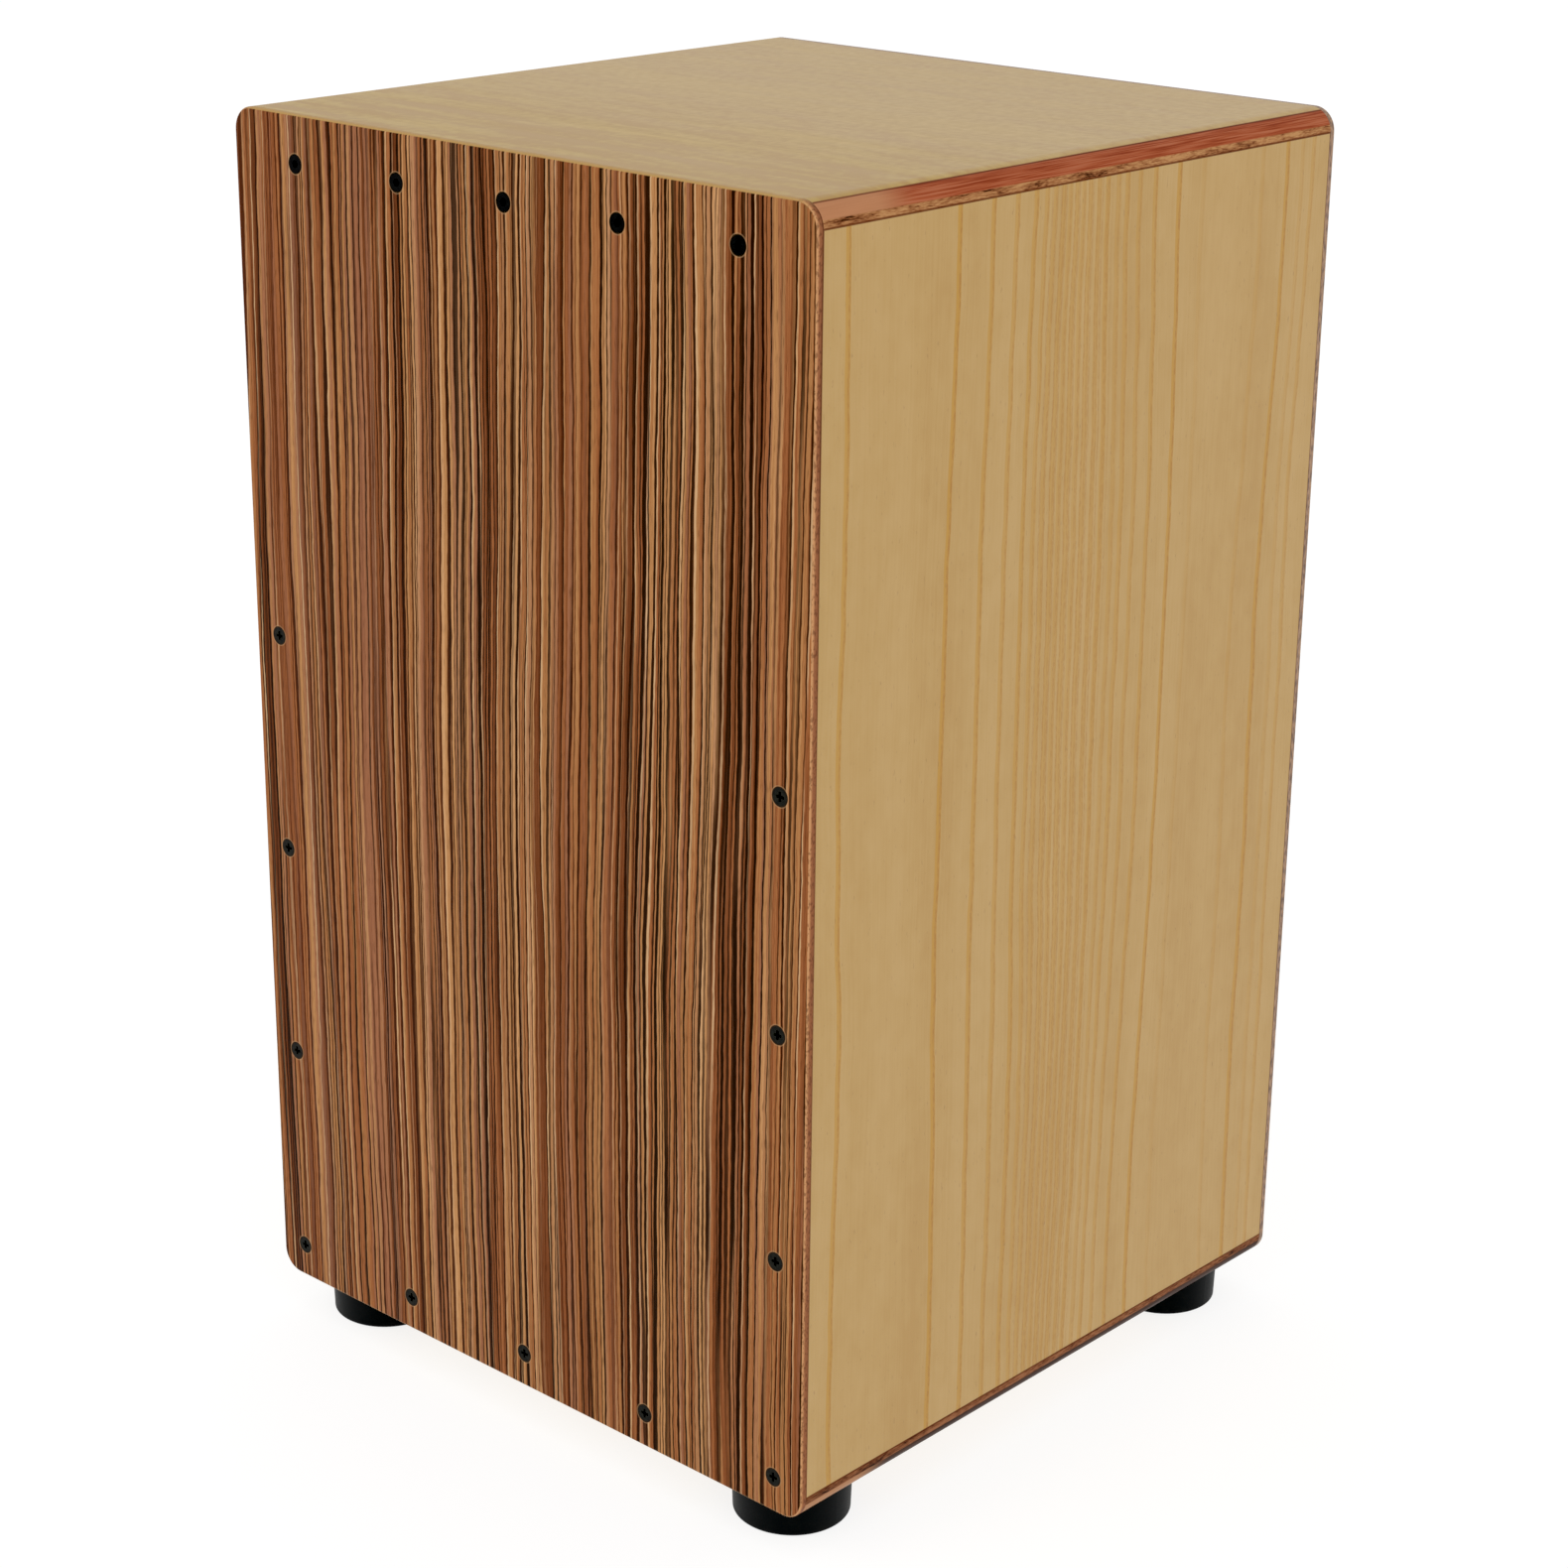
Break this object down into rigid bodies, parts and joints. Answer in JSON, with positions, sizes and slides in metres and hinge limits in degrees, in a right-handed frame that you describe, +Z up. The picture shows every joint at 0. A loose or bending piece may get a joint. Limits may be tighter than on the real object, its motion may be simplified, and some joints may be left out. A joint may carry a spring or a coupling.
{
  "type": "cajon",
  "caption": "Plywood box drum with a striped playing plate, a round sound hole at the back, adjustable inner snare strings and rubber feet.",
  "frame": {"origin": "on the floor under the middle of the box, in the plane that the rubber feet stand on", "axes": "+X towards the right of someone facing the front plate, +Y from the front plate to the back plate, +Z up"},
  "size_m": [0.29, 0.291, 0.4975],
  "materials": {
    "light_veneer_ply": "satin lacquer over pale ash veneer, red-brown ply edges",
    "zebrano_ply": "satin lacquer over striped zebrano veneer",
    "back_ply": "satin lacquer over plain ply",
    "inner_softwood": "raw sawn softwood",
    "black_screws": "black oxide",
    "zinc_steel": "zinc plated",
    "brass_fittings": "turned and milled",
    "wound_strings": "bronze-wound steel string",
    "black_rubber": "moulded matt rubber"
  },
  "bodies": {
    "shell": {"top_panel": "light_veneer_ply", "bottom_panel": "light_veneer_ply", "left_panel": "light_veneer_ply", "right_panel": "light_veneer_ply", "tapa": "zebrano_ply", "back_panel": "back_ply", "front_top_rail": "inner_softwood", "front_bottom_rail": "inner_softwood", "front_left_stile": "inner_softwood", "front_right_stile": "inner_softwood", "back_top_batten": "inner_softwood", "back_bottom_batten": "inner_softwood", "back_left_batten": "inner_softwood", "back_right_batten": "inner_softwood", "top_left_glue_strip": "inner_softwood", "top_right_glue_strip": "inner_softwood", "bottom_left_glue_strip": "inner_softwood", "bottom_right_glue_strip": "inner_softwood", "tapa_screws": "black_screws", "threaded_inserts": "brass_fittings", "tension_bolt_washers": "zinc_steel", "left_string_guide": "zinc_steel", "right_string_guide": "zinc_steel", "guide_screws": "zinc_steel", "left_strings": "wound_strings", "right_strings": "wound_strings", "string_ball_ends": "brass_fittings", "left_string_anchor": "zinc_steel", "right_string_anchor": "zinc_steel", "anchor_screws": "zinc_steel", "front_left_foot": "black_rubber", "front_right_foot": "black_rubber", "back_left_foot": "black_rubber", "back_right_foot": "black_rubber", "foot_washers": "zinc_steel", "foot_screws": "zinc_steel"},
    "left_tension_bolt": {"left_tension_bolt": "zinc_steel", "left_bolt_collar": "brass_fittings"},
    "right_tension_bolt": {"right_tension_bolt": "zinc_steel", "right_bolt_collar": "brass_fittings"},
    "left_carriage": {"left_string_carriage": "brass_fittings", "left_string_ferrules": "brass_fittings"},
    "right_carriage": {"right_string_carriage": "brass_fittings", "right_string_ferrules": "brass_fittings"},
    "top_bolt_1": {"top_bolt_1": "black_screws"},
    "top_bolt_2": {"top_bolt_2": "black_screws"},
    "top_bolt_3": {"top_bolt_3": "black_screws"},
    "top_bolt_4": {"top_bolt_4": "black_screws"},
    "top_bolt_5": {"top_bolt_5": "black_screws"}
  },
  "joints": [
    {"name": "left_tension_bolt_turn", "type": "hinge", "parent": "shell", "child": "left_tension_bolt", "pos_m": [-0.045, -0.133, 0.045], "axis": [0, 0, 1], "range_deg": [-2160, 720]},
    {"name": "left_carriage_slide", "type": "slide", "parent": "shell", "child": "left_carriage", "axis": [0, 0, 1], "range_m": [-0.002, 0.006], "deforming": ["left_strings"]},
    {"name": "right_tension_bolt_turn", "type": "hinge", "parent": "shell", "child": "right_tension_bolt", "pos_m": [0.045, -0.133, 0.045], "axis": [0, 0, 1], "range_deg": [-2160, 720]},
    {"name": "right_carriage_slide", "type": "slide", "parent": "shell", "child": "right_carriage", "axis": [0, 0, 1], "range_m": [-0.002, 0.006], "deforming": ["right_strings"]},
    {"name": "top_bolt_1_turn", "type": "hinge", "parent": "shell", "child": "top_bolt_1", "pos_m": [-0.1108, -0.14, 0.4795], "axis": [0, -1, 0], "range_deg": [0, 540]},
    {"name": "top_bolt_2_turn", "type": "hinge", "parent": "shell", "child": "top_bolt_2", "pos_m": [-0.0554, -0.14, 0.4795], "axis": [0, -1, 0], "range_deg": [0, 540]},
    {"name": "top_bolt_3_turn", "type": "hinge", "parent": "shell", "child": "top_bolt_3", "pos_m": [0, -0.14, 0.4795], "axis": [0, -1, 0], "range_deg": [0, 540]},
    {"name": "top_bolt_4_turn", "type": "hinge", "parent": "shell", "child": "top_bolt_4", "pos_m": [0.0554, -0.14, 0.4795], "axis": [0, -1, 0], "range_deg": [0, 540]},
    {"name": "top_bolt_5_turn", "type": "hinge", "parent": "shell", "child": "top_bolt_5", "pos_m": [0.1108, -0.14, 0.4795], "axis": [0, -1, 0], "range_deg": [0, 540]}
  ],
  "couplings": [
    {"joint": "left_tension_bolt_turn", "follows": "left_carriage_slide", "rad_per_m": -6283.2},
    {"joint": "right_tension_bolt_turn", "follows": "right_carriage_slide", "rad_per_m": -6283.2}
  ]
}
